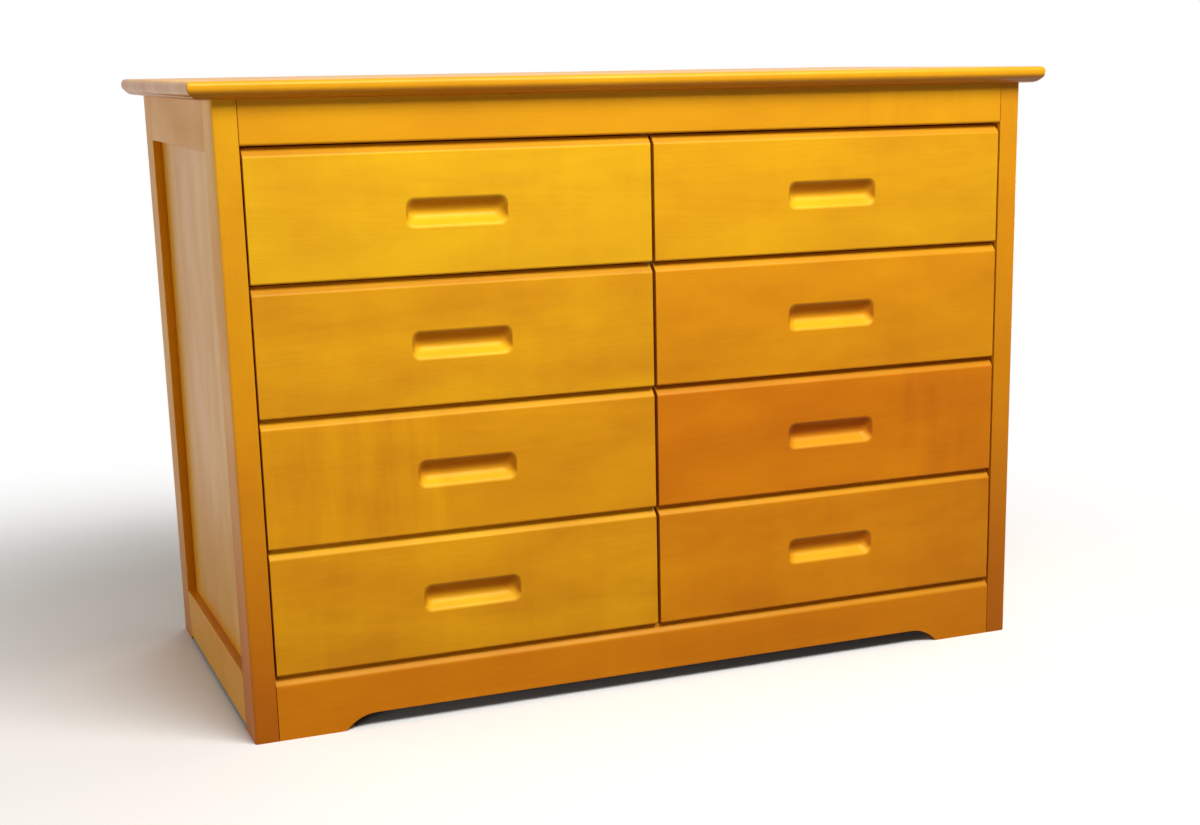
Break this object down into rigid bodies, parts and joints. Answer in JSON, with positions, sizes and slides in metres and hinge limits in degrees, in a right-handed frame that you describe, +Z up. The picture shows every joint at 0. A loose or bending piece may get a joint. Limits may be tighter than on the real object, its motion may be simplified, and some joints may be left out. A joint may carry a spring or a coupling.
{
  "type": "dresser",
  "caption": "Low wide dresser with flush drawers in two columns, routed finger scoops, frame-and-panel sides and a profiled overhanging top.",
  "frame": {"origin": "on the floor under the middle of the whole dresser", "axes": "+Z up, the drawers open towards -Y, +X to the right of someone facing the drawers"},
  "size_m": [1.129, 0.55, 0.789],
  "materials": {
    "case_maple": "amber gloss lacquer",
    "inner_birch": "satin sealer",
    "plywood": "satin sealer",
    "screw_steel": "zinc plated"
  },
  "bodies": {
    "case": {"top_panel": "case_maple", "front_left_post": "case_maple", "front_right_post": "case_maple", "back_left_post": "case_maple", "back_right_post": "case_maple", "left_side_top_rail": "case_maple", "right_side_top_rail": "case_maple", "left_side_bottom_rail": "case_maple", "right_side_bottom_rail": "case_maple", "left_side_panel": "case_maple", "right_side_panel": "case_maple", "front_top_rail": "case_maple", "front_base_rail": "case_maple", "back_top_rail": "inner_birch", "back_bottom_rail": "inner_birch", "back_panel": "plywood", "centre_partition": "inner_birch", "drawer_runners": "inner_birch", "corner_blocks": "inner_birch", "screws": "screw_steel"},
    "drawer_left_1": {"drawer_left_1_front": "case_maple", "drawer_left_1_left_side": "inner_birch", "drawer_left_1_right_side": "inner_birch", "drawer_left_1_back": "inner_birch", "drawer_left_1_bottom": "plywood"},
    "drawer_left_2": {"drawer_left_2_front": "case_maple", "drawer_left_2_left_side": "inner_birch", "drawer_left_2_right_side": "inner_birch", "drawer_left_2_back": "inner_birch", "drawer_left_2_bottom": "plywood"},
    "drawer_left_3": {"drawer_left_3_front": "case_maple", "drawer_left_3_left_side": "inner_birch", "drawer_left_3_right_side": "inner_birch", "drawer_left_3_back": "inner_birch", "drawer_left_3_bottom": "plywood"},
    "drawer_left_4": {"drawer_left_4_front": "case_maple", "drawer_left_4_left_side": "inner_birch", "drawer_left_4_right_side": "inner_birch", "drawer_left_4_back": "inner_birch", "drawer_left_4_bottom": "plywood"},
    "drawer_right_1": {"drawer_right_1_front": "case_maple", "drawer_right_1_left_side": "inner_birch", "drawer_right_1_right_side": "inner_birch", "drawer_right_1_back": "inner_birch", "drawer_right_1_bottom": "plywood"},
    "drawer_right_2": {"drawer_right_2_front": "case_maple", "drawer_right_2_left_side": "inner_birch", "drawer_right_2_right_side": "inner_birch", "drawer_right_2_back": "inner_birch", "drawer_right_2_bottom": "plywood"},
    "drawer_right_3": {"drawer_right_3_front": "case_maple", "drawer_right_3_left_side": "inner_birch", "drawer_right_3_right_side": "inner_birch", "drawer_right_3_back": "inner_birch", "drawer_right_3_bottom": "plywood"},
    "drawer_right_4": {"drawer_right_4_front": "case_maple", "drawer_right_4_left_side": "inner_birch", "drawer_right_4_right_side": "inner_birch", "drawer_right_4_back": "inner_birch", "drawer_right_4_bottom": "plywood"}
  },
  "joints": [
    {"name": "drawer_left_1_slide", "type": "slide", "parent": "case", "child": "drawer_left_1", "axis": [0, -1, 0], "range_m": [0, 0.36]},
    {"name": "drawer_left_2_slide", "type": "slide", "parent": "case", "child": "drawer_left_2", "axis": [0, -1, 0], "range_m": [0, 0.36]},
    {"name": "drawer_left_3_slide", "type": "slide", "parent": "case", "child": "drawer_left_3", "axis": [0, -1, 0], "range_m": [0, 0.36]},
    {"name": "drawer_left_4_slide", "type": "slide", "parent": "case", "child": "drawer_left_4", "axis": [0, -1, 0], "range_m": [0, 0.36]},
    {"name": "drawer_right_1_slide", "type": "slide", "parent": "case", "child": "drawer_right_1", "axis": [0, -1, 0], "range_m": [0, 0.36]},
    {"name": "drawer_right_2_slide", "type": "slide", "parent": "case", "child": "drawer_right_2", "axis": [0, -1, 0], "range_m": [0, 0.36]},
    {"name": "drawer_right_3_slide", "type": "slide", "parent": "case", "child": "drawer_right_3", "axis": [0, -1, 0], "range_m": [0, 0.36]},
    {"name": "drawer_right_4_slide", "type": "slide", "parent": "case", "child": "drawer_right_4", "axis": [0, -1, 0], "range_m": [0, 0.36]}
  ]
}
